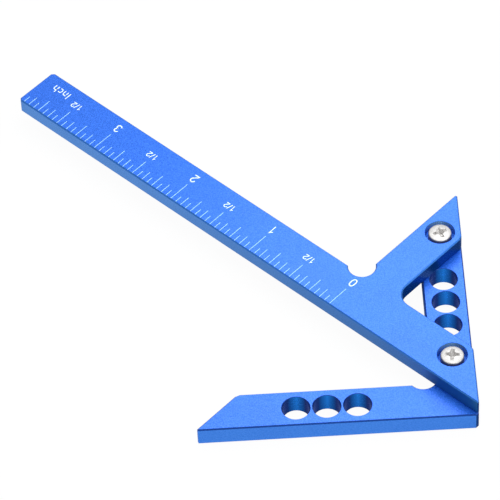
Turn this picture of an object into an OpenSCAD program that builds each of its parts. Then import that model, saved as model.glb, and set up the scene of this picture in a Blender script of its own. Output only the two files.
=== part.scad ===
// Marking square with a fixed rule: a right-angle fence, and a graduated ruler plate clamped on it by two
// screws. The fence's legs stand at 45 degrees to the blade, so the graduated edge halves its right angle.
// The branch stands square to the blade, and its shoulder is the zero of the scale.
// +X runs along the blade from the fence's corner to the blade's end, and +Z is up from the underside.
// The origin is halfway from the fence's corner, taken sharp, to the blade's end, at the middle of the overall
// width and on the underside.

/* [Ruler plate] */
// Length of the scale, from the shoulder to the blade's end
scale_l = 101.6; // [70:0.1:160]
// Width of the blade, and of the fork strip that carries it on to the fence's corner
blade_w = 12; // [11:0.5:15]
// Width of the branch that stands square to the blade
branch_w = 10; // [9:0.5:13]
// Thickness of the ruler plate
ruler_t = 4; // [3.5:0.5:6]
// Radius of the fillet in the closed corner of the window between branch and fork strip
window_fillet = 4; // [2:0.5:6]

/* [Scale] */
// Width of an engraved line
line_w = 0.15; // [0.1:0.05:0.4]
// Depth of an engraved line
line_depth = 0.1; // [0.05:0.05:0.2]

/* [Fence plate] */
// Outer length of each leg, from the fence's corner to the tip
leg_l = 65; // [58:1:90]
// Width of each leg
leg_w = 10; // [9:0.5:13]
// Thickness of the fence plate
fence_t = 5; // [4.5:0.5:8]
// Diameter of the marking holes
hole_d = 6.6; // [4:0.1:7]
// Thinnest wall between two marking holes
hole_web = 0.5; // [0.4:0.1:1.5]
// Number of marking holes in each leg
hole_count = 3; // [1:1:3]

/* [Plate edges] */
// Width of the edge break round both faces of each plate
edge_break = 0.3; // [0.1:0.05:0.5]
// Width of the break at the outer corners of each plate's outline, along both of the corner's sides
corner_break = 0.65; // [0.6:0.05:1]
// Width of the edge break at the rims of the round holes
rim_break = 0.1; // [0.05:0.05:0.15]
// Diameter of the relief cut in each inner corner
relief_d = 6.6; // [6.2:0.1:8]
// Distance from each side of an inner corner out to the relief's centre
relief_out = 2; // [1:0.1:2.1]

/* [Screws] */
// Thread diameter
screw_d = 3; // [2.5:0.1:3.5]
// Length under the head
screw_l = 6; // [4.5:0.1:6.2]
// Diameter of the pan head
head_d = 5.5; // [5:0.1:6]
// Height of the pan head
head_h = 2.4; // [2:0.1:2.8]
// Height of the head's crown above the ruler plate
head_proud = 0.3; // [0.05:0.05:0.6]
// Radius of the head's domed top
dome_r = 9; // [6:0.5:14]
// Radial gap between the head and its counterbore
head_gap = 0.8; // [0.3:0.1:1]
// Radial gap between the thread and the clearance hole in the ruler plate
clear_gap = 0.2; // [0.1:0.05:0.4]
// Radial running gap between the thread and the tapped hole in the fence
thread_gap = 0.05; // [0.02:0.01:0.1]

/* [Hidden] */
$fn = 96;

// Cuts run past the faces that they open by this much
over = 1;

// Plan positions are written as s, the distance along the blade from the fence's corner,
// and n, the distance across it from the graduated edge towards the branch.
shoulder_s = leg_l / sqrt(2);
total_l = shoulder_s + scale_l;
middle_s = total_l / 2;
branch_s = shoulder_s - branch_w;
fence_corner_s = leg_w * sqrt(2);
leg_end_n = shoulder_s - fence_corner_s;
top_z = fence_t + ruler_t;

// Scale, read in sixteenths of an inch
inch = 25.4;
divisions = 16;
line_pitch = inch / divisions;
line_count = ceil(scale_l / line_pitch);
// Lengths of the lines at inches, halves, quarters, eighths and sixteenths, as shares of the blade's width
line_shares = [0.51, 0.42, 0.36, 0.265, 0.19];

// Screws stand on the centre line of the leg under the ruler plate
counterbore_d = head_d + 2 * head_gap;
seat_z = top_z + head_proud - head_h;
tip_screw_s = branch_s + branch_w / 2;
tip_screw_n = tip_screw_s - fence_corner_s / 2;
corner_screw_share = 0.59;
corner_screw_n = blade_w * corner_screw_share;
corner_screw_s = corner_screw_n + fence_corner_s / 2;
// How far each screw's recess is turned from the blade's direction once it is tight
tip_screw_turn = 63;
corner_screw_turn = 38;

// Cross recess, as shares of the head's diameter and height
recess_span_share = 0.68;
recess_tip_share = 0.22;
recess_wing_share = 0.16;
recess_core_share = 0.36;
recess_depth_share = 0.66;
point_share = 0.12;

// The middle of each row of marking holes, as a share of the leg's length
row_middle_share = 0.532;
hole_pitch = hole_d + hole_web;

// Plan point at s along the blade and n across it
function plan(s, n) = [s - middle_s, -n];

// Plan point on a leg: a along its outer edge from the fence's corner, b in from that edge.
// side is 1 for the leg under the branch and -1 for the other.
function on_leg(a, b, side) = plan((a + b) / sqrt(2), side * (a - b) / sqrt(2));

// Place of each marking hole of a row along its leg
function hole_places() = [for (i = [0:hole_count - 1])
    leg_l * row_middle_share + (i - (hole_count - 1) / 2) * hole_pitch];

// Rank of the k-th line of the scale: 0 at a whole inch, and one more each time the fraction halves
function line_rank(k) = k % divisions == 0 ? 0
    : k % (divisions / 2) == 0 ? 1
    : k % (divisions / 4) == 0 ? 2
    : k % (divisions / 8) == 0 ? 3
    : 4;

// Round hole from z0 to z1 with a broken rim at both faces
module round_hole(at, d, z0, z1, rim) {
    translate([at.x, at.y, z0 - over]) cylinder(d = d, h = z1 - z0 + 2 * over);
    countersink(at, d, z1, rim, 1);
    countersink(at, d, z0, rim, -1);
}

// Broken rim of a round hole at height z, opening upwards if up is 1 and downwards if it is -1
module countersink(at, d, z, rim, up) {
    translate([at.x, at.y, z])
        mirror([0, 0, up < 0 ? 1 : 0])
        translate([0, 0, -rim])
        cylinder(r1 = d / 2, r2 = d / 2 + rim + over, h = rim + over);
}

// Broken edge from p to q at height z. It runs past an end whose flag is 1, where the corner is an outer one.
module broken_edge(p, q, z, past_p, past_q) {
    along = q - p;
    len = norm(along);
    side = edge_break * sqrt(2);
    translate([p.x, p.y, z])
        rotate([0, 0, atan2(along.y, along.x)])
        translate([-past_p * over, 0, 0])
        rotate([45, 0, 0])
        translate([0, -side / 2, -side / 2])
        cube([len + (past_p + past_q) * over, side, side]);
}

// Every broken edge of a plate between heights z0 and z1. An edge is [p, q, past_p, past_q].
module broken_edges(edges, z0, z1) {
    for (e = edges, z = [z0, z1]) broken_edge(e[0], e[1], z, e[2], e[3]);
}

// Point on the side from corner v to point p, where the corner is broken
function break_point(v, p) = v + (p - v) * corner_break / norm(p - v);

// Point k of an outline, counted round its ends
function point_at(outline, k) = outline[(k + len(outline)) % len(outline)];

// True if k is one of the listed corners
function listed(k, corners) = len(search(k, corners)) > 0;

// Where the side that comes to point k ends, and where the side that leaves it starts
function side_end(outline, corners, k) = listed(k, corners)
    ? break_point(outline[k], point_at(outline, k - 1))
    : outline[k];
function side_start(outline, corners, k) = listed(k, corners)
    ? break_point(outline[k], point_at(outline, k + 1))
    : outline[k];

// Outline with its listed corners broken
function broken_outline(outline, corners) = [
    for (k = [0:len(outline) - 1])
        each listed(k, corners)
            ? [side_end(outline, corners, k), side_start(outline, corners, k)]
            : [outline[k]]
];

// Edges of a broken outline, as broken_edges takes them: one at each corner and one along each side that isn't
// skipped
function outline_edges(outline, corners, skipped) = [
    for (k = corners) [side_end(outline, corners, k), side_start(outline, corners, k), 1, 1],
    for (k = [0:len(outline) - 1])
        if (!listed(k, skipped))
            let (next = (k + 1) % len(outline))
                [
                    side_start(outline, corners, k),
                    side_end(outline, corners, next),
                    listed(k, corners) ? 1 : 0,
                    listed(next, corners) ? 1 : 0
                ]
];

// Fence: two mitred legs in one plate, square to each other, with their tips cut back to the shoulder line
function fence_outline() = [
    on_leg(0, 0, 1),
    plan(shoulder_s, shoulder_s),
    plan(shoulder_s, leg_end_n),
    plan(fence_corner_s, 0),
    plan(shoulder_s, -leg_end_n),
    plan(shoulder_s, -shoulder_s)
];

fence_corners = [0, 1, 2, 4, 5];

module fence_plate() {
    relief_at = on_leg(leg_w + relief_out, leg_w + relief_out, 1);
    color("royalblue")
    difference() {
        linear_extrude(height = fence_t) polygon(broken_outline(fence_outline(), fence_corners));
        round_hole(relief_at, relief_d, 0, fence_t, edge_break);
        broken_edges(outline_edges(fence_outline(), fence_corners, []), 0, fence_t);
        for (side = [1, -1], a = hole_places())
            round_hole(on_leg(a, leg_w / 2, side), hole_d, 0, fence_t, rim_break);
        for (at = [plan(tip_screw_s, tip_screw_n), plan(corner_screw_s, corner_screw_n)])
            round_hole(at, screw_d + 2 * thread_gap, 0, fence_t, rim_break);
    }
}

// Ruler plate: blade and fork strip in one line, and the branch square to them, all cut off along the leg's
// outer edge
function ruler_outline() = [
    plan(0, 0),
    plan(total_l, 0),
    plan(total_l, blade_w),
    plan(shoulder_s, blade_w),
    plan(shoulder_s, shoulder_s),
    plan(branch_s, branch_s),
    plan(branch_s, blade_w + window_fillet),
    plan(branch_s - window_fillet, blade_w),
    plan(blade_w, blade_w)
];

ruler_corners = [0, 1, 2, 4, 5, 8];
// The side that the fillet takes away, whose edge is broken with the fillet
fillet_side = 6;

module scale_lines() {
    for (k = [0:line_count - 1]) {
        line_l = blade_w * line_shares[line_rank(k)];
        at = plan(shoulder_s + k * line_pitch - line_w / 2, line_l);
        translate([at.x, at.y, top_z - line_depth]) cube([line_w, line_l + over, line_depth + over]);
    }
}

module ruler_plate() {
    fillet_at = plan(branch_s - window_fillet, blade_w + window_fillet);
    relief_at = plan(shoulder_s + relief_out, blade_w + relief_out);
    color("royalblue")
    difference() {
        translate([0, 0, fence_t])
            linear_extrude(height = ruler_t)
            polygon(broken_outline(ruler_outline(), ruler_corners));
        round_hole(fillet_at, 2 * window_fillet, fence_t, top_z, edge_break);
        round_hole(relief_at, relief_d, fence_t, top_z, edge_break);
        broken_edges(outline_edges(ruler_outline(), ruler_corners, [fillet_side]), fence_t, top_z);
        for (at = [plan(tip_screw_s, tip_screw_n), plan(corner_screw_s, corner_screw_n)]) {
            round_hole(at, screw_d + 2 * clear_gap, fence_t, seat_z, rim_break);
            translate([at.x, at.y, seat_z]) cylinder(d = counterbore_d, h = head_h + over);
            countersink(at, counterbore_d, top_z, rim_break, 1);
        }
        scale_lines();
    }
}

// Two crossed wings that taper towards the bottom, round a conical core. It is cut down from z = 0.
module cross_recess() {
    depth = head_h * recess_depth_share;
    span = head_d * recess_span_share;
    tip = head_d * recess_tip_share;
    for (turn = [0, 90])
        rotate([90, 0, turn])
        linear_extrude(height = head_d * recess_wing_share, center = true)
        polygon([
            [-span / 2, over],
            [-span / 2, 0],
            [-tip / 2, -depth],
            [tip / 2, -depth],
            [span / 2, 0],
            [span / 2, over]
        ]);
    translate([0, 0, -depth]) cylinder(d1 = tip, d2 = head_d * recess_core_share, h = depth);
    cylinder(d = head_d * recess_core_share, h = over);
}

// Pan head screw standing at plan point at, with its head on its seat
module pan_head_screw(at, turn) {
    point = screw_d * point_share;
    color("silver")
    translate([at.x, at.y, seat_z])
    rotate([0, 0, turn]) {
        difference() {
            intersection() {
                cylinder(d = head_d, h = head_h);
                translate([0, 0, head_h - dome_r]) sphere(r = dome_r);
            }
            translate([0, 0, head_h]) cross_recess();
        }
        translate([0, 0, point - screw_l]) cylinder(d = screw_d, h = screw_l - point);
        translate([0, 0, -screw_l]) cylinder(d1 = screw_d - 2 * point, d2 = screw_d, h = point);
    }
}

module tip_screw() {
    pan_head_screw(plan(tip_screw_s, tip_screw_n), tip_screw_turn);
}

module corner_screw() {
    pan_head_screw(plan(corner_screw_s, corner_screw_n), corner_screw_turn);
}

fence_plate();
ruler_plate();
tip_screw();
corner_screw();
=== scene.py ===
import math

import bmesh
import bpy
from mathutils import Matrix, Vector


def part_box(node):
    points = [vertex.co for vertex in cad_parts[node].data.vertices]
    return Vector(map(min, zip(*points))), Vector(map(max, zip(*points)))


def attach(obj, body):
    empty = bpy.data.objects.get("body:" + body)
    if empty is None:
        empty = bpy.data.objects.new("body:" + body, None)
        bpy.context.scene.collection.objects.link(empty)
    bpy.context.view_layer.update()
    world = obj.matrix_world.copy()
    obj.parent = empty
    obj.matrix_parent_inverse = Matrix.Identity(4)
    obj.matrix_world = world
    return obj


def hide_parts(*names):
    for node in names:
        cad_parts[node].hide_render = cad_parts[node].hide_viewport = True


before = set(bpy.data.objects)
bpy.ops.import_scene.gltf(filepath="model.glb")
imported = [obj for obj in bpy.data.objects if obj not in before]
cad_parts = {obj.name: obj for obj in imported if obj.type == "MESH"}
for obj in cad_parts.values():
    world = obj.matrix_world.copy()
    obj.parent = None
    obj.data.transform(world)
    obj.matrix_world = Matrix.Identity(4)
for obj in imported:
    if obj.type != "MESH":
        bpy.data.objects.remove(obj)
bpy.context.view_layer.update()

# Fence plate
# An L of two legs square to each other, milled from 5 mm aluminium plate, bead blasted and anodised blue.
# It is the imported solid as it stands, with the blasted and dyed finish put on it and its holes reamed smooth.
# Its side tones are partly painted light, its edge breaks and hole walls carry painted shade, and its holes a
# painted highlight streak.
MM = 0.001
# The legs' sharp corner lies as far before the origin as the blade's end lies past it
CORNER_X = -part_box("ruler_plate")[1].x
LEG_MIDDLE = 5 * MM
ROW_MIDDLE = 34.6 * MM
ROW_REACH = 11 * MM
BORE_REACH = 3.6 * MM
GRAIN_SIZE = 0.22 * MM
GRAIN_DEPTH = 0.012 * MM
GRAIN_STRENGTH = 0.35
MOTTLE_SIZE = 0.35 * MM
CLOUD_SIZE = 9 * MM
SPOT_ROUGHNESS = 0.6
SPECKLE_SPAN = (0.8, 1.2)
CLOUD_SPAN = (0.3, 0.7)
UPRIGHT_ON_SIDES = (0.1, 0.5)
UPRIGHT_ON_TOP = (0.85, 0.95)
WINDOW_FACING = -0.9
# Painted highlight: bore walls turned towards this direction are painted lighter, as a reflection would make
# them.
HIGHLIGHT_FACING = (-0.64, 0.77, 0)
HIGHLIGHT_REACH_IN_HOLES = 0.66
GRADUATED_FACING = 0.9
NOWHERE = (-1, -0.9)
DYE_TONES = ((0.002, 0.096, 0.53, 1), (0.018, 0.160, 0.80, 1))
# The fence's side tones: partly its milled sides' own colour and partly painted light, lighter and bluer for
# how light falls on them.
FENCE_SIDE_AS_LIT = ((0.032, 0.230, 0.88, 1), (0.052, 0.305, 1.0, 1))
# Painted shade: a darker tone on the fence's edge breaks, standing in for the dark they reflect.
FENCE_EDGE_SHADE = (0.004, 0.062, 0.36, 1)
# Painted shade on the fence's hole walls, dark navy, up to a lighter painted highlight streak.
HOLE_SHADE_AND_HIGHLIGHT = ((0.001, 0.036, 0.22, 1), (0.020, 0.285, 1.0, 1))
# Painted shade: one flat dark tone on the window's wall.
WINDOW_WALL_SHADE = (0.0045, 0.062, 0.27, 1)
# Painted shade on the graduated side where it faces the free leg.
SIDE_SHADE_BY_FREE_LEG = (0.014, 0.150, 0.34, 1)
WHITE = (1, 1, 1, 1)
BORE_TINT = (0.25, 0.5, 1, 1)
ROUGHNESS = (0.45, 0.51)
ROUGHNESS_SPECKLE = (-0.06, 0.06)
SMOOTHER_WHERE_REAMED = 0.24
METAL_OFF_AND_ON_SIDES = (0.6, 0.85)
LESS_METAL_WHERE_REAMED = 0.4
SHEEN_BLASTED_AND_REAMED = (0.2, 0.07)
COAT_OFF_AND_ON_TOP = (0.25, 0.45)
COAT_SPECKLE = (-0.12, 0.12)
COAT_IOR = 1.6
COAT_ROUGHNESS = 0.35


def add_node(tree, kind, values=None, **settings):
    """A node of this kind, with its settings and the values of its input sockets."""
    made = tree.nodes.new(kind)
    for name, value in settings.items():
        setattr(made, name, value)
    for socket, value in (values or {}).items():
        made.inputs[socket].default_value = value
    return made


def new_material(name):
    """An empty node material, with its tree, its shader and its object coordinates."""
    material = bpy.data.materials.new(name)
    material.use_nodes = True
    tree = material.node_tree
    tree.nodes.clear()
    shader = add_node(tree, "ShaderNodeBsdfPrincipled")
    out = add_node(tree, "ShaderNodeOutputMaterial")
    tree.links.new(shader.outputs["BSDF"], out.inputs["Surface"])
    place = add_node(tree, "ShaderNodeTexCoord")
    return material, tree, shader, place.outputs["Object"]


def noise(tree, place, size, detail):
    """Noise whose spots are about this size."""
    made = add_node(tree, "ShaderNodeTexNoise", {
        "Scale": 1 / size, "Detail": detail, "Roughness": SPOT_ROUGHNESS})
    tree.links.new(place, made.inputs["Vector"])
    return made.outputs["Fac"]


def spread(tree, source, low, high, to_low, to_high):
    """Maps a value's span from low to high onto another span."""
    made = add_node(tree, "ShaderNodeMapRange", {
        "From Min": low, "From Max": high, "To Min": to_low, "To Max": to_high})
    tree.links.new(source, made.inputs["Value"])
    return made.outputs["Result"]


def blend_colours(tree, factor, first, second):
    """Mixes two colours, each a value or a socket."""
    made = add_node(tree, "ShaderNodeMix", data_type="RGBA")
    tree.links.new(factor, made.inputs["Factor"])
    for socket, colour in (("A", first), ("B", second)):
        slot = [s for s in made.inputs if s.name == socket and s.type == "RGBA"][0]
        if isinstance(colour, tuple):
            slot.default_value = colour
        else:
            tree.links.new(colour, slot)
    return [s for s in made.outputs if s.type == "RGBA"][0]


def bump(tree, shader, height, depth, strength):
    """Raises the surface by the height value, as far as depth."""
    made = add_node(tree, "ShaderNodeBump", {"Strength": strength, "Distance": depth})
    tree.links.new(height, made.inputs["Height"])
    tree.links.new(made.outputs["Normal"], shader.inputs["Normal"])


def math_node(tree, operation, first, second=0):
    """One operation on two values, each a number or a socket."""
    made = add_node(tree, "ShaderNodeMath", operation=operation)
    for k, value in enumerate((first, second)):
        if isinstance(value, (int, float)):
            made.inputs[k].default_value = value
        else:
            tree.links.new(value, made.inputs[k])
    return made.outputs["Value"]


def times(tree, first, second):
    """The product of two values."""
    return math_node(tree, "MULTIPLY", first, second)


def parts_of(tree, vector):
    """The X, Y and Z of a vector, as a node's outputs."""
    made = add_node(tree, "ShaderNodeSeparateXYZ")
    tree.links.new(vector, made.inputs["Vector"])
    return made.outputs


def along(tree, vector, direction):
    """How far a vector lies along a direction."""
    made = add_node(tree, "ShaderNodeVectorMath", {1: direction}, operation="DOT_PRODUCT")
    tree.links.new(vector, made.inputs[0])
    return made.outputs["Value"]


def near(tree, value, middle, reach):
    """1 where the value lies within this reach of its middle, and 0 elsewhere."""
    made = add_node(tree, "ShaderNodeMath", {1: middle, 2: reach}, operation="COMPARE")
    tree.links.new(value, made.inputs[0])
    return made.outputs["Value"]


def in_marking_holes(tree, place):
    """1 along the two rows of reamed marking holes, and 0 elsewhere on the legs."""
    at = parts_of(tree, place)
    from_corner = math_node(tree, "SUBTRACT", at["X"], CORNER_X)
    aside = math_node(tree, "ABSOLUTE", at["Y"])
    along_leg = times(tree, math_node(tree, "ADD", from_corner, aside), math.sqrt(0.5))
    across_leg = times(tree, math_node(tree, "SUBTRACT", from_corner, aside), math.sqrt(0.5))
    in_row = near(tree, along_leg, ROW_MIDDLE, ROW_REACH)
    return times(tree, in_row, near(tree, across_leg, LEG_MIDDLE, BORE_REACH))


def blasted_blue_anodising(name, side_tones_as_lit, edge_shade, in_bores, bore_shade_and_highlight, highlight_reach, free_leg_shade_span):
    """Blasted grain on top; sides in tones that are partly painted light; painted shade on the edge breaks; and
    smooth walls in bores and window, with painted shade and a painted highlight streak in the bores.

    The graduated side has painted shade where X lies below the span, because it faces the free leg there.
    """
    material, tree, shader, place = new_material(name)
    grain = noise(tree, place, GRAIN_SIZE, 2)
    mottle = noise(tree, place, MOTTLE_SIZE, 3)
    clouds = noise(tree, place, CLOUD_SIZE, 1)
    speckle = math_node(tree, "ADD", grain, mottle)
    normal = add_node(tree, "ShaderNodeTexCoord").outputs["Normal"]
    facing = parts_of(tree, normal)
    upright = math_node(tree, "ABSOLUTE", facing["Z"])
    side = spread(tree, upright, *UPRIGHT_ON_SIDES, 1, 0)
    top = spread(tree, upright, *UPRIGHT_ON_TOP, 0, 1)
    in_window = math_node(tree, "LESS_THAN", facing["X"], WINDOW_FACING)
    in_bore = in_bores(tree, place)
    # Bore and window walls: made smoother and less metallic, and given painted shade below.
    reamed = times(tree, side, math_node(tree, "MAXIMUM", in_bore, in_window))

    # Bore walls: painted shade, with a painted highlight streak where they face one way.
    turned = math_node(tree, "ARCCOSINE", along(tree, normal, HIGHLIGHT_FACING))
    bore = blend_colours(tree, spread(tree, turned, 0, highlight_reach, 1, 0), *bore_shade_and_highlight)
    # The window's wall takes its flat painted shade, and the bores their painted shade and highlight.
    wall = blend_colours(tree, in_bore, WINDOW_WALL_SHADE, bore)
    dark_to_pale = spread(tree, speckle, *SPECKLE_SPAN, 0, 1)
    dye = blend_colours(tree, dark_to_pale, *DYE_TONES)
    # Sides: milled tones that are partly painted light.
    milled_side_as_lit = blend_colours(tree, dark_to_pale, *side_tones_as_lit)
    on_graduated = math_node(tree, "GREATER_THAN", facing["Y"], GRADUATED_FACING)
    # Painted shade on the graduated side, over the free leg.
    shade_by_free_leg = times(tree, on_graduated, spread(tree, parts_of(tree, place)["X"], *free_leg_shade_span, 1, 0))
    milled_side_as_lit = blend_colours(tree, shade_by_free_leg, milled_side_as_lit, SIDE_SHADE_BY_FREE_LEG)
    # Edge breaks take the painted edge shade, and bore and window walls their painted dark wall colour.
    below_top = blend_colours(tree, reamed, blend_colours(tree, side, edge_shade, milled_side_as_lit), wall)

    uneven = math_node(tree, "ADD", spread(tree, speckle, *SPECKLE_SPAN, *ROUGHNESS_SPECKLE),
                       spread(tree, clouds, *CLOUD_SPAN, *ROUGHNESS))
    metal = spread(tree, side, 0, 1, *METAL_OFF_AND_ON_SIDES)
    coat = math_node(tree, "ADD", spread(tree, top, 0, 1, *COAT_OFF_AND_ON_TOP),
                     spread(tree, speckle, *SPECKLE_SPAN, *COAT_SPECKLE))
    finish = {
        "Base Color": blend_colours(tree, top, below_top, dye),
        "Roughness": math_node(tree, "SUBTRACT", uneven, times(tree, reamed, SMOOTHER_WHERE_REAMED)),
        "Metallic": math_node(tree, "SUBTRACT", metal, times(tree, reamed, LESS_METAL_WHERE_REAMED)),
        "Specular Tint": blend_colours(tree, reamed, WHITE, BORE_TINT),
        "Specular IOR Level": spread(tree, reamed, 0, 1, *SHEEN_BLASTED_AND_REAMED),
        "Coat Weight": times(tree, coat, spread(tree, reamed, 0, 1, 1, 0)),
    }
    for socket, value in finish.items():
        tree.links.new(value, shader.inputs[socket])
    shader.inputs["Coat IOR"].default_value = COAT_IOR
    shader.inputs["Coat Roughness"].default_value = COAT_ROUGHNESS
    bump(tree, shader, grain, GRAIN_DEPTH, GRAIN_STRENGTH)
    return material


def finish_with(cad_object, material):
    """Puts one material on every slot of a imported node."""
    if not cad_object.material_slots:
        cad_object.data.materials.append(material)
    for slot in cad_object.material_slots:
        slot.material = material


finish_with(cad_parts["fence_plate"], blasted_blue_anodising(
    "fence_anodising_and_painted_light", FENCE_SIDE_AS_LIT, FENCE_EDGE_SHADE, in_marking_holes, HOLE_SHADE_AND_HIGHLIGHT, HIGHLIGHT_REACH_IN_HOLES, NOWHERE))

# Ruler plate
# Blade, fork strip and branch in one 4 mm plate with the same finish, screwed down over one leg of the fence.
# Its counterbores are reamed, with painted shade and a painted highlight streak on their walls, and its
# graduations are cut along the blade's edge and filled with white.
# Its side tones are partly painted light, and its edge breaks, its window's wall and its graduated side over
# the free leg carry painted shade.
plate_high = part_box("ruler_plate")[1]
PLATE_TOP = plate_high.z
GRADUATED_EDGE = plate_high.y
ZERO_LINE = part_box("fence_plate")[1].x
EDGE_BREAK = 0.3 * MM
COUNTERBORE_REACH = 3.7 * MM
SURFACE_SLACK = 0.01 * MM
# Painted highlight: how far the lighter streak in the counterbores reaches.
HIGHLIGHT_REACH_IN_COUNTERBORES = 1.5
# Where the painted shade on the graduated side fades in, over the free leg.
OVER_FREE_LEG = (CORNER_X + 12 * MM, CORNER_X + 17 * MM)
# The ruler's side tones: partly its milled sides' own colour and partly painted light, greyer for the white
# they reflect.
RULER_SIDE_AS_LIT = ((0.050, 0.235, 0.64, 1), (0.070, 0.300, 0.82, 1))
# Painted shade: a darker tone on the ruler plate's edge breaks, standing in for the dark they reflect.
RULER_EDGE_SHADE = (0.022, 0.160, 0.56, 1)
# Painted shade on the counterbores' walls, up to a lighter painted highlight streak.
COUNTERBORE_SHADE_AND_HIGHLIGHT = ((0.004, 0.08, 0.45, 1), (0.34, 0.66, 1.0, 1))
INCH = 25.4 * MM
DIVISIONS = 16
LAST_LINE_SLACK = 0.001
LINE_WIDTH = 0.15 * MM
LINE_DEPTH = 0.1 * MM
FILL_BELOW = 0.01 * MM
LINE_LENGTHS = {
    "Inch": 6.12 * MM,
    "Half": 5.04 * MM,
    "Quarter": 4.32 * MM,
    "Eighth": 3.18 * MM,
    "Sixteenth": 2.28 * MM,
}
FILLING_TONES = ((0.27, 0.57, 0.88, 1), (0.46, 0.78, 0.97, 1))
PAINT_SPOTS = 0.3 * MM
PAINT_SPAN = (0.35, 0.7)
PAINT_ROUGHNESS = 0.55
PAINT_BUMP = (0.01 * MM, 0.2)


def in_counterbores(tree, place):
    """1 round the screws' axes below the ruler plate's top, and 0 elsewhere."""
    at = parts_of(tree, place)
    flat_place = add_node(tree, "ShaderNodeCombineXYZ")
    for axis in "XY":
        tree.links.new(at[axis], flat_place.inputs[axis])
    inside = 0
    for name in ("tip_screw", "corner_screw"):
        low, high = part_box(name)
        axis = ((low.x + high.x) / 2, (low.y + high.y) / 2, 0)
        away = add_node(tree, "ShaderNodeVectorMath", {1: axis}, operation="DISTANCE")
        tree.links.new(flat_place.outputs["Vector"], away.inputs[0])
        here = near(tree, away.outputs["Value"], 0, COUNTERBORE_REACH)
        inside = math_node(tree, "ADD", inside, here)
    return times(tree, inside, math_node(tree, "LESS_THAN", at["Z"], PLATE_TOP - SURFACE_SLACK))


finish_with(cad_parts["ruler_plate"], blasted_blue_anodising(
    "ruler_anodising_and_painted_light", RULER_SIDE_AS_LIT, RULER_EDGE_SHADE, in_counterbores, COUNTERBORE_SHADE_AND_HIGHLIGHT, HIGHLIGHT_REACH_IN_COUNTERBORES,
    OVER_FREE_LEG))


def white_paint(name, thin, full):
    """Matt white paint, a little uneven where the dye shows through."""
    material, tree, shader, place = new_material(name)
    patches = noise(tree, place, PAINT_SPOTS, 2)
    colour = blend_colours(tree, spread(tree, patches, *PAINT_SPAN, 0, 1), thin, full)
    tree.links.new(colour, shader.inputs["Base Color"])
    shader.inputs["Roughness"].default_value = PAINT_ROUGHNESS
    bump(tree, shader, patches, *PAINT_BUMP)
    return material


def new_tree(name, sizes):
    """A geometry tree with named inputs for its sizes, ending in Realize Instances and Set Material."""
    tree = bpy.data.node_groups.new(name, "GeometryNodeTree")
    tree.interface.new_socket("Geometry", in_out="INPUT", socket_type="NodeSocketGeometry")
    tree.interface.new_socket("Geometry", in_out="OUTPUT", socket_type="NodeSocketGeometry")
    for label, kind in sizes.items():
        tree.interface.new_socket(label, in_out="INPUT", socket_type=kind)
    start = tree.nodes.new("NodeGroupInput")
    end = tree.nodes.new("NodeGroupOutput")
    realize = tree.nodes.new("GeometryNodeRealizeInstances")
    paint = tree.nodes.new("GeometryNodeSetMaterial")
    tree.links.new(start.outputs["Material"], paint.inputs["Material"])
    tree.links.new(realize.outputs["Geometry"], paint.inputs["Geometry"])
    tree.links.new(paint.outputs["Geometry"], end.inputs["Geometry"])
    return tree, start, realize.inputs["Geometry"]


def grow(name, tree, values):
    """Runs a geometry tree once and keeps its result as a plain mesh object."""
    seed = bpy.data.objects.new(name + "_seed", bpy.data.meshes.new(name + "_seed"))
    bpy.context.scene.collection.objects.link(seed)
    modifier = seed.modifiers.new("grow", "NODES")
    modifier.node_group = tree
    for item in tree.interface.items_tree:
        if item.in_out == "INPUT" and item.name in values:
            modifier[item.identifier] = values[item.name]
    graph = bpy.context.evaluated_depsgraph_get()
    grown = bpy.data.meshes.new_from_object(seed.evaluated_get(graph), depsgraph=graph)
    grown.name = name
    made = bpy.data.objects.new(name, grown)
    bpy.context.scene.collection.objects.link(made)
    bpy.data.objects.remove(seed)
    return made


def graduations_tree():
    """A row of bars, each as long as its rank on the scale, from whole inches down to sixteenths."""
    sizes = {"Material": "NodeSocketMaterial", "Count": "NodeSocketInt", "Pitch": "NodeSocketFloat",
             "Width": "NodeSocketFloat", "Depth": "NodeSocketFloat", "Start": "NodeSocketVector"}
    sizes.update({rank: "NodeSocketFloat" for rank in LINE_LENGTHS})
    tree, start, result = new_tree("graduations", sizes)
    step = add_node(tree, "ShaderNodeCombineXYZ")
    tree.links.new(start.outputs["Pitch"], step.inputs["X"])
    row = add_node(tree, "GeometryNodeMeshLine")
    tree.links.new(start.outputs["Count"], row.inputs["Count"])
    tree.links.new(start.outputs["Start"], row.inputs["Start Location"])
    tree.links.new(step.outputs["Vector"], row.inputs["Offset"])
    number = add_node(tree, "GeometryNodeInputIndex").outputs["Index"]
    length = start.outputs["Sixteenth"]
    for rank, every in (("Eighth", 2), ("Quarter", 4), ("Half", 8), ("Inch", 16)):
        off_beat = math_node(tree, "MODULO", number, every)
        pick = add_node(tree, "GeometryNodeSwitch", input_type="FLOAT")
        tree.links.new(math_node(tree, "LESS_THAN", off_beat, 0.5), pick.inputs["Switch"])
        tree.links.new(length, pick.inputs["False"])
        tree.links.new(start.outputs[rank], pick.inputs["True"])
        length = pick.outputs["Output"]
    size = add_node(tree, "ShaderNodeCombineXYZ")
    tree.links.new(start.outputs["Width"], size.inputs["X"])
    tree.links.new(length, size.inputs["Y"])
    tree.links.new(start.outputs["Depth"], size.inputs["Z"])
    bar = add_node(tree, "GeometryNodeMeshCube", {"Size": (1, 1, 1)})
    hang = add_node(tree, "GeometryNodeTransform", {"Translation": (0, -0.5, -0.5)})
    tree.links.new(bar.outputs["Mesh"], hang.inputs["Geometry"])
    lay = add_node(tree, "GeometryNodeInstanceOnPoints")
    tree.links.new(row.outputs["Mesh"], lay.inputs["Points"])
    tree.links.new(hang.outputs["Geometry"], lay.inputs["Instance"])
    tree.links.new(size.outputs["Vector"], lay.inputs["Scale"])
    tree.links.new(lay.outputs["Instances"], result)
    return tree


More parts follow.
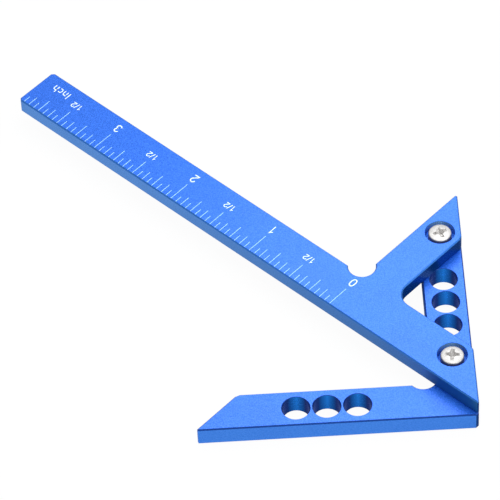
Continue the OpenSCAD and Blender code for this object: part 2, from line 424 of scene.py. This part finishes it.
scale_length = plate_high.x - ZERO_LINE
line_values = {
    "Material": white_paint("white_filling", *FILLING_TONES),
    "Count": math.ceil(scale_length / INCH * DIVISIONS - LAST_LINE_SLACK),
    "Pitch": INCH / DIVISIONS,
    "Width": LINE_WIDTH,
    "Depth": LINE_DEPTH - FILL_BELOW,
    "Start": Vector((ZERO_LINE, GRADUATED_EDGE - EDGE_BREAK, PLATE_TOP - FILL_BELOW)),
}
line_values.update({rank: length - EDGE_BREAK for rank, length in LINE_LENGTHS.items()})
graduations = grow("graduations", graduations_tree(), line_values)
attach(graduations, "plates")

# Numbers
# Whole inches, halves and the unit, printed in white as plain strokes of even width.
# Each character is a set of centre lines on a grid one unit high, with a flat ribbon laid along each of them.
PRINT_THICKNESS = 0.01 * MM
PRINT_TONES = ((0.58, 0.76, 0.94, 1), (0.80, 0.90, 0.98, 1))
LEAST_MITRE = 0.5


def arc(cx, cy, rx, ry, start, end, steps=14):
    """Points on an ellipse, from one angle to another in degrees."""
    turns = [math.radians(start + (end - start) * k / steps) for k in range(steps + 1)]
    return [(cx + rx * math.cos(t), cy + ry * math.sin(t)) for t in turns]


def full_loop(cx, cy, rx, ry, fullness, steps=32):
    """A closed loop with sides that are fuller than an ellipse's."""
    points = []
    for k in range(steps + 1):
        c = math.cos(2 * math.pi * k / steps)
        s = math.sin(2 * math.pi * k / steps)
        across = rx * math.copysign(abs(c) ** fullness, c)
        points.append((cx + across, cy + ry * math.copysign(abs(s) ** fullness, s)))
    return points


ARCH = [(0.16, 0.42)] + arc(0.375, 0.45, 0.215, 0.205, 165, 0) + [(0.59, 0.0)]
CHARACTERS = {
    "0": (0.77, [full_loop(0.385, 0.5, 0.225, 0.43, 0.8)]),
    "1": (0.77, [[(0.18, 0.73), (0.34, 0.77), (0.44, 0.97), (0.44, 0.0)]]),
    "2": (0.77, [arc(0.385, 0.69, 0.23, 0.25, 178, -38) + [(0.17, 0.17), (0.13, 0.07), (0.64, 0.07)]]),
    "3": (0.77, [arc(0.37, 0.715, 0.20, 0.215, 168, -90), arc(0.37, 0.285, 0.235, 0.215, 90, -168)]),
    "/": (0.39, [[(0.03, -0.02), (0.36, 1.0)]]),
    "I": (0.39, [[(0.195, 0.0), (0.195, 1.0)]]),
    "n": (0.77, [[(0.16, 0.0), (0.16, 0.72)], ARCH]),
    "c": (0.69, [arc(0.36, 0.36, 0.23, 0.30, 45, 315, 20)]),
    "h": (0.77, [[(0.16, 0.0), (0.16, 1.0)], ARCH]),
}


def ribbon_sides(line, width):
    """Points on both sides of a line, mitred at its bends."""
    closed = math.dist(line[0], line[-1]) < width / 100
    points = [Vector(point) for point in (line[:-1] if closed else line)]
    last = len(points) - 1
    sides = []
    for k, point in enumerate(points):
        before = point - points[k - 1] if closed or k > 0 else points[1] - point
        after = points[(k + 1) % (last + 1)] - point if closed or k < last else before
        first, second = (Vector((-d.y, d.x)).normalized() for d in (before, after))
        mitre = (first + second).normalized()
        reach = mitre * (width / 2 / max(mitre.dot(first), LEAST_MITRE))
        sides.append((point + reach, point - reach))
    return sides, closed


def lay_ribbon(points, faces, line, width):
    """Adds a thin closed ribbon along a line to the lists of points and faces."""
    sides, closed = ribbon_sides(line, width)
    first = len(points)
    for left, right in sides:
        points += [(p.x, p.y, z) for z in (PLATE_TOP, PLATE_TOP + PRINT_THICKNESS) for p in (left, right)]
    rings = [[first + 4 * k + j for j in (0, 1, 3, 2)] for k in range(len(sides))]
    nexts = rings[1:] + rings[:1] if closed else rings[1:]
    for here, there in zip(rings, nexts):
        faces += [(here[j], there[j], there[(j + 1) % 4], here[(j + 1) % 4]) for j in range(4)]
    if not closed:
        faces += [tuple(rings[0]), tuple(reversed(rings[-1]))]


ink = white_paint("white_print", *PRINT_TONES)


def print_words(name, words, width):
    """One mesh of printed words. A word is (text, middle x, base line y, height)."""
    points, faces = [], []
    for text, middle, base, height in words:
        x = middle - sum(CHARACTERS[c][0] for c in text) * height / 2
        for c in text:
            for line in CHARACTERS[c][1]:
                lay_ribbon(points, faces, [(x + u * height, base + v * height) for u, v in line], width)
            x += CHARACTERS[c][0] * height
    mesh = bpy.data.meshes.new(name)
    mesh.from_pydata(points, [], faces)
    mesh.materials.append(ink)
    shell = bmesh.new()
    shell.from_mesh(mesh)
    bmesh.ops.recalc_face_normals(shell, faces=shell.faces)
    shell.to_mesh(mesh)
    shell.free()
    made = bpy.data.objects.new(name, mesh)
    bpy.context.scene.collection.objects.link(made)
    return made


def along_scale(entries, base_across, height):
    """Words with their middles at these inches of the scale and their feet on one line across it."""
    base = GRADUATED_EDGE - base_across
    return [(text, ZERO_LINE + inches * INCH, base, height) for text, inches in entries]


PRINTED = (
    # Name, words with their inches, feet from the graduated edge, height and stroke
    ("whole_inch_numbers", [(str(k), k) for k in range(4)], 9.86 * MM, 2.55 * MM, 0.28 * MM),
    ("half_inch_numbers", [("1/2", k + 0.505) for k in range(4)], 8.28 * MM, 1.72 * MM, 0.21 * MM),
    ("unit_mark", [("Inch", 3.75)], 9.46 * MM, 2.1 * MM, 0.24 * MM),
)
for name, entries, base_across, height, stroke in PRINTED:
    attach(print_words(name, along_scale(entries, base_across, height), stroke), "plates")

# Screws
# Two M3 pan head screws with a cross recess, of steel plated with bright zinc, hold the ruler plate down on
# the tapped fence. Each is a forged head and a rolled thread in one shell, with its recess cut in and its rim
# eased.
HEAD_RADIUS = 2.75 * MM
HEAD_HEIGHT = 2.4 * MM
DOME_RADIUS = 9 * MM
DOME_CENTRE = Vector((0, 0, HEAD_HEIGHT - DOME_RADIUS))
DOME_RINGS = 8
HEAD_FILLET = 0.4 * MM
FILLET_RINGS = 6
HEAD_CHAMFER = 0.12 * MM
THREAD_RADIUS = 1.5 * MM
THREAD_PITCH = 0.5 * MM
CREST_SHARE = 0.125
ROOT_FROM = 0.75
ROOT_RADIUS = 1.2 * MM
POINT_RADIUS = 1.1 * MM
POINT_HEIGHT = 0.36 * MM
RUN_OUT = 0.6 * MM
ROWS_PER_PITCH = 12
COLUMNS = 48
RECESS_SPAN = 3.74 * MM
RECESS_TIP = 1.21 * MM
RECESS_WING = 0.86 * MM
RECESS_CORE = 1.98 * MM
RECESS_DEPTH = 1.58 * MM
RECESS_POINT = 0.25 * MM
CORE_SIDES = 24
RIM_EASE = 0.05 * MM
RIM_ANGLE = math.radians(35)
SHARP_ANGLE = math.radians(30)
SCREW_TURNS = {"tip_screw": 63, "corner_screw": 38}
PLATED_TONES = ((0.42, 0.415, 0.41, 1), (0.50, 0.495, 0.49, 1))
PLATED_ROUGHNESS = (0.46, 0.56)
PLATED_METAL = 1.0
# Painted shade: a duller grey zinc for the recess, standing in for the shade inside it.
RECESS_SHADE_TONES = ((0.42, 0.41, 0.40, 1), (0.70, 0.69, 0.68, 1))
RECESS_ROUGHNESS = (0.5, 0.65)
RECESS_METAL = 0.3
LUSTRE_SIZE = 0.5 * MM
LUSTRE_TONE_SPAN = (0.35, 0.65)
LUSTRE_ROUGHNESS_SPAN = (0.3, 0.7)
LUSTRE_BUMP = (0.01 * MM, 0.05)


def zinc(name, tones, roughness, metal):
    """Zinc plating with a fine uneven lustre."""
    material, tree, shader, place = new_material(name)
    lustre = noise(tree, place, LUSTRE_SIZE, 3)
    colour = blend_colours(tree, spread(tree, lustre, *LUSTRE_TONE_SPAN, 0, 1), *tones)
    uneven = spread(tree, lustre, *LUSTRE_ROUGHNESS_SPAN, *roughness)
    tree.links.new(colour, shader.inputs["Base Color"])
    tree.links.new(uneven, shader.inputs["Roughness"])
    shader.inputs["Metallic"].default_value = metal
    bump(tree, shader, lustre, *LUSTRE_BUMP)
    return material


def head_rows():
    """Radius and height of the head's rings above its seat, from the crown's edge down to the seat."""
    dome_centre = HEAD_HEIGHT - DOME_RADIUS
    fillet_at = HEAD_RADIUS - HEAD_FILLET
    lean = math.asin(fillet_at / (DOME_RADIUS - HEAD_FILLET))
    fillet_height = dome_centre + (DOME_RADIUS - HEAD_FILLET) * math.cos(lean)
    rows = []
    for k in range(1, DOME_RINGS + 1):
        t = lean * k / DOME_RINGS
        rows.append((DOME_RADIUS * math.sin(t), dome_centre + DOME_RADIUS * math.cos(t)))
    for k in range(1, FILLET_RINGS + 1):
        t = lean + (math.pi / 2 - lean) * k / FILLET_RINGS
        rows.append((fillet_at + HEAD_FILLET * math.sin(t), fillet_height + HEAD_FILLET * math.cos(t)))
    return rows + [(HEAD_RADIUS, HEAD_CHAMFER), (HEAD_RADIUS - HEAD_CHAMFER, 0), (THREAD_RADIUS, 0)]


def thread_radius(turn, height, length):
    """Radius of a right-hand thread with flat crests, which runs out at the head and at the point."""
    across = abs((height / THREAD_PITCH - turn) % 1 - 0.5) * 2
    crest = min(max((ROOT_FROM - across) / (ROOT_FROM - CREST_SHARE), 0), 1)
    below_head = min(-height / RUN_OUT, 1)
    smooth_root = THREAD_RADIUS + (ROOT_RADIUS - THREAD_RADIUS) * below_head
    above_point = height + length
    limit = POINT_RADIUS + (THREAD_RADIUS - POINT_RADIUS) * min(above_point / POINT_HEIGHT, 1)
    return min(smooth_root + (THREAD_RADIUS - smooth_root) * crest, limit)


def screw_shell(length):
    """Head and threaded shank as one closed shell, with its seat at height zero and its axis along Z."""
    step = THREAD_PITCH / ROWS_PER_PITCH
    count = round(length / step)
    rings = [[(radius, height)] * COLUMNS for radius, height in head_rows()]
    for k in range(1, count + 1):
        height = -length * k / count
        rings.append([(thread_radius(j / COLUMNS, height, length), height) for j in range(COLUMNS)])
    points = [(r * math.cos(2 * math.pi * j / COLUMNS), r * math.sin(2 * math.pi * j / COLUMNS), z)
              for ring in rings for j, (r, z) in enumerate(ring)]
    crown, point = len(points), len(points) + 1
    points += [(0, 0, HEAD_HEIGHT), (0, 0, -length)]
    last = (len(rings) - 1) * COLUMNS
    faces = []
    for j in range(COLUMNS):
        after = (j + 1) % COLUMNS
        faces += [(crown, j, after), (point, last + after, last + j)]
        faces += [(first + j, first + COLUMNS + j, first + COLUMNS + after, first + after)
                  for first in range(0, last, COLUMNS)]
    return points, faces


def recess_cutters():
    """Two crossed wings that taper downwards, and a core that ends in a shallow point."""
    top = HEAD_HEIGHT + HEAD_CHAMFER
    bottom = HEAD_HEIGHT - RECESS_DEPTH
    middle = (top + bottom) / 2
    cutters = []
    for turn in (0, 90):
        side = [(-RECESS_SPAN / 2, top), (-RECESS_SPAN / 2, HEAD_HEIGHT), (-RECESS_TIP / 2, bottom),
                (RECESS_TIP / 2, bottom), (RECESS_SPAN / 2, HEAD_HEIGHT), (RECESS_SPAN / 2, top)]
        wing = bmesh.new()
        flat = wing.faces.new([wing.verts.new((x, -RECESS_WING / 2, z)) for x, z in side])
        grown = bmesh.ops.extrude_face_region(wing, geom=[flat])
        moved = [v for v in grown["geom"] if isinstance(v, bmesh.types.BMVert)]
        bmesh.ops.translate(wing, verts=moved, vec=(0, RECESS_WING, 0))
        quarter = Matrix.Rotation(math.radians(turn), 3, "Z")
        bmesh.ops.rotate(wing, verts=wing.verts, cent=(0, 0, 0), matrix=quarter)
        cutters.append(wing)
    core = bmesh.new()
    bmesh.ops.create_cone(core, cap_ends=True, segments=CORE_SIDES, radius1=RECESS_TIP / 2,
                          radius2=RECESS_CORE / 2, depth=top - bottom,
                          matrix=Matrix.Translation((0, 0, middle)))
    low = [v for v in core.verts if v.co.z < middle]
    floor_face = [f for f in core.faces if all(v in low for v in f.verts)][0]
    pointed = bmesh.ops.poke(core, faces=[floor_face])
    bmesh.ops.translate(core, verts=pointed["verts"], vec=(0, 0, -RECESS_POINT))
    return cutters + [core]


def cut_recess(shell):
    """Cuts the cross recess into a screw's object and returns the result as a mesh."""
    helpers = []
    for cutter in recess_cutters():
        bmesh.ops.recalc_face_normals(cutter, faces=cutter.faces)
        mesh = bpy.data.meshes.new("cutter")
        cutter.to_mesh(mesh)
        cutter.free()
        helper = bpy.data.objects.new("cutter", mesh)
        bpy.context.scene.collection.objects.link(helper)
        helpers.append(helper)
        modifier = shell.modifiers.new("cut", "BOOLEAN")
        modifier.operation = "DIFFERENCE"
        modifier.solver = "EXACT"
        modifier.object = helper
    graph = bpy.context.evaluated_depsgraph_get()
    cut = bpy.data.meshes.new_from_object(shell.evaluated_get(graph), depsgraph=graph)
    for helper in helpers + [shell]:
        bpy.data.objects.remove(helper)
    return cut


def ease_rim(mesh):
    """Bevels the recess's rim, where its walls meet the dome."""
    body = bmesh.new()
    body.from_mesh(mesh)
    on_dome = set()
    for v in body.verts:
        if (v.co - DOME_CENTRE).length > DOME_RADIUS - RIM_EASE / 2 and v.co.z > HEAD_HEIGHT / 2:
            on_dome.add(v)
    rim = [e for e in body.edges if set(e.verts) <= on_dome and e.calc_face_angle(0) > RIM_ANGLE]
    bmesh.ops.bevel(body, geom=rim, offset=RIM_EASE, segments=2, affect="EDGES", profile=0.5)
    body.to_mesh(mesh)
    body.free()


def dull_recess(mesh):
    """Gives the second material to the recess's faces: a rougher, less metallic zinc whose duller grey is
    painted shade in the recess.
    """
    for face in mesh.polygons:
        at = face.center
        below_dome = (at - DOME_CENTRE).length < DOME_RADIUS - RIM_EASE
        if below_dome and at.z > 0 and math.hypot(at.x, at.y) < RECESS_SPAN / 2 + RIM_EASE:
            face.material_index = 1


plating = zinc("bright_zinc", PLATED_TONES, PLATED_ROUGHNESS, PLATED_METAL)
# The recess's zinc is painted shade.
shaded_recess_plating = zinc("recess_zinc_painted_shade", RECESS_SHADE_TONES, RECESS_ROUGHNESS, RECESS_METAL)
for name, turn in SCREW_TURNS.items():
    low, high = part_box(name)
    seat = Vector(((low.x + high.x) / 2, (low.y + high.y) / 2, high.z - HEAD_HEIGHT))
    blank = bpy.data.meshes.new(name + "_blank")
    points, faces = screw_shell(seat.z - low.z)
    blank.from_pydata(points, [], faces)
    shell = bpy.data.objects.new(name + "_blank", blank)
    bpy.context.scene.collection.objects.link(shell)
    mesh = cut_recess(shell)
    ease_rim(mesh)
    mesh.name = name + "_threaded"
    mesh.shade_smooth()
    mesh.set_sharp_from_angle(angle=SHARP_ANGLE)
    mesh.materials.clear()
    mesh.materials.append(plating)
    mesh.materials.append(shaded_recess_plating)
    dull_recess(mesh)
    mesh.transform(Matrix.Translation(seat) @ Matrix.Rotation(math.radians(turn), 4, "Z"))
    screw = bpy.data.objects.new(name + "_threaded", mesh)
    bpy.context.scene.collection.objects.link(screw)
    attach(screw, name)
    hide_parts(name)

# Camera
# Stands where the photograph was taken from, a long way off and a little rolled. Its lens is long, so the
# blade's edges stay almost parallel.
VIEW_AZIMUTH = 224.65
VIEW_ELEVATION = 48.28
VIEW_ROLL = 2.93
VIEW_DISTANCE = 964.8 * MM
VIEW_TARGET = Vector((-0.07, -2.96, 5.0)) * MM
VIEW_LENS = 292.83
SENSOR_WIDTH = 36
VIEW_NEAR = 0.01
VIEW_FAR = 10

turn, lift, roll = (math.radians(a) for a in (VIEW_AZIMUTH, VIEW_ELEVATION, VIEW_ROLL))
back = Vector((math.sin(turn) * math.cos(lift), -math.cos(turn) * math.cos(lift), math.sin(lift)))
level_right = (-back).cross(Vector((0, 0, 1))).normalized()
level_down = (-back).cross(level_right)
right = math.cos(roll) * level_right + math.sin(roll) * level_down
down = -math.sin(roll) * level_right + math.cos(roll) * level_down
lens = bpy.data.cameras.new("camera")
lens.lens = VIEW_LENS
lens.sensor_width = SENSOR_WIDTH
lens.clip_start = VIEW_NEAR
lens.clip_end = VIEW_FAR
camera = bpy.data.objects.new("camera", lens)
bpy.context.scene.collection.objects.link(camera)
turned = Matrix((right, -down, back)).transposed().to_4x4()
camera.matrix_world = Matrix.Translation(VIEW_TARGET + back * VIEW_DISTANCE) @ turned
bpy.context.scene.camera = camera

# Floor and light
# A white floor that looks plain white as seen, is darker to bounced light, and glows white in reflections in
# painted patches of light: brightest beside the blade, before the fence and under the holes.
# An even white studio that is brighter on one side. Three soft lamps: one high above, a small one low over the
# fence's corner, and one off to the side that the window's wall faces.
FLOOR_SIZE = 4.0
FLOOR_SHARE_SEEN = 0.96
FLOOR_TONE_SEEN = 0.9
FLOOR_TONE_BOUNCED = 0.2
# Painted light: where the floor glows in reflections, and how much.
SHARE_BEFORE_FENCE = 0.85
SHARE_UNDER_HOLES = 0.8
SHARE_BESIDE_BLADE = (0.3, 1.0)
FADE_ALONG_BLADE = (-0.06, 0.03)
FADE_PAST_BLADE = (-0.02, 0.005)
BRIGHT_SIDE = (0.50, -0.60, 0.62)
SKY_SHARE_SEEN = 1.0
STUDIO_LIGHT = (0.15, 0.95)
MIRRORED_FROM = (0.4, 0.9)
MIRRORED_LIGHT = (0.08, 0.85)
LAMPS = (
    # Name, place, target, size in metres and power in watts
    ("lamp_above", (-0.05, 0.05, 0.6), (-0.02, 0, 0), 0.3, 0.8),
    ("lamp_over_corner", (0.01, -0.085, 0.15), (0.0, -0.02, 0), 0.16, 0.2),
    ("lamp_beside_window", (-0.5, -0.1, 0.45), (-0.04, -0.02, 0), 0.3, 1.4),
)


def white_for_viewer(tree, lit, bright, camera_share, glossy_share):
    """Mixes a lit shader with plain white: one share for the camera's rays and one for reflections."""
    rays = add_node(tree, "ShaderNodeLightPath").outputs
    mirrored = math_node(tree, "MAXIMUM", rays["Is Glossy Ray"], rays["Is Transmission Ray"])
    seen = math_node(tree, "MAXIMUM", times(tree, rays["Is Camera Ray"], camera_share),
                     times(tree, mirrored, glossy_share))
    mixed = add_node(tree, "ShaderNodeMixShader")
    tree.links.new(seen, mixed.inputs["Fac"])
    tree.links.new(lit, mixed.inputs[1])
    tree.links.new(bright, mixed.inputs[2])
    return mixed.outputs["Shader"]


def share_mirrored(tree, place):
    """How white the floor glows in reflections, as painted light: whitest by the blade, before the fence and
    under the holes.
    """
    at = parts_of(tree, place)
    before_fence = math_node(tree, "LESS_THAN", math_node(tree, "SUBTRACT", at["X"], CORNER_X), at["Y"])
    beside_blade = spread(tree, at["X"], *FADE_ALONG_BLADE, *SHARE_BESIDE_BLADE)
    on_this_side = spread(tree, at["Y"], *FADE_PAST_BLADE, 0, 1)
    brighter = math_node(tree, "MAXIMUM", times(tree, before_fence, SHARE_BEFORE_FENCE), beside_blade)
    under_holes = times(tree, in_marking_holes(tree, place), SHARE_UNDER_HOLES)
    return math_node(tree, "MAXIMUM", times(tree, on_this_side, brighter), under_holes)


floor_mesh = bpy.data.meshes.new("floor")
half = FLOOR_SIZE / 2
corners = [(-half, -half, 0), (half, -half, 0), (half, half, 0), (-half, half, 0)]
floor_mesh.from_pydata(corners, [], [(0, 1, 2, 3)])
floor = bpy.data.objects.new("floor", floor_mesh)
bpy.context.scene.collection.objects.link(floor)
floor_material = bpy.data.materials.new("floor")
floor_material.use_nodes = True
floor_tree = floor_material.node_tree
floor_tree.nodes.clear()
floor_place = add_node(floor_tree, "ShaderNodeTexCoord")
floor_glow_in_reflections = share_mirrored(floor_tree, floor_place.outputs["Object"])
matt = add_node(floor_tree, "ShaderNodeBsdfDiffuse")
floor_rays = add_node(floor_tree, "ShaderNodeLightPath")
floor_tone = spread(
    floor_tree, floor_rays.outputs["Is Camera Ray"], 0, 1, FLOOR_TONE_BOUNCED, FLOOR_TONE_SEEN)
floor_tree.links.new(floor_tone, matt.inputs["Color"])
glow = add_node(floor_tree, "ShaderNodeEmission", {"Color": WHITE, "Strength": 1.0})
floor_out = add_node(floor_tree, "ShaderNodeOutputMaterial")
floor_tree.links.new(white_for_viewer(floor_tree, matt.outputs["BSDF"], glow.outputs["Emission"],
                                          FLOOR_SHARE_SEEN, floor_glow_in_reflections),
                     floor_out.inputs["Surface"])
floor_mesh.materials.append(floor_material)

world = bpy.data.worlds.new("studio")
world.use_nodes = True
world_tree = world.node_tree
world_tree.nodes.clear()
dim = add_node(world_tree, "ShaderNodeBackground", {"Color": WHITE})
sky = add_node(world_tree, "ShaderNodeTexCoord")
brightness = along(world_tree, sky.outputs["Generated"], BRIGHT_SIDE)
world_tree.links.new(spread(world_tree, brightness, -1, 1, *STUDIO_LIGHT), dim.inputs["Strength"])
mirrored_sky = spread(world_tree, brightness, *MIRRORED_FROM, *MIRRORED_LIGHT)
white = add_node(world_tree, "ShaderNodeBackground", {"Color": WHITE, "Strength": 1.0})
world_out = add_node(world_tree, "ShaderNodeOutputWorld")
world_tree.links.new(white_for_viewer(world_tree, dim.outputs["Background"], white.outputs["Background"],
                                          SKY_SHARE_SEEN, mirrored_sky),
                     world_out.inputs["Surface"])
bpy.context.scene.world = world


def soft_lamp(name, place, target, size, watts):
    """A square lamp that looks at a target."""
    lamp = bpy.data.lights.new(name, "AREA")
    lamp.shape = "SQUARE"
    lamp.size = size
    lamp.energy = watts
    holder = bpy.data.objects.new(name, lamp)
    bpy.context.scene.collection.objects.link(holder)
    holder.location = place
    holder.rotation_mode = "QUATERNION"
    holder.rotation_quaternion = (Vector(place) - Vector(target)).to_track_quat("Z", "Y")
    holder.visible_camera = False


for lamp_values in LAMPS:
    soft_lamp(*lamp_values)

bpy.context.scene.view_settings.view_transform = "Standard"
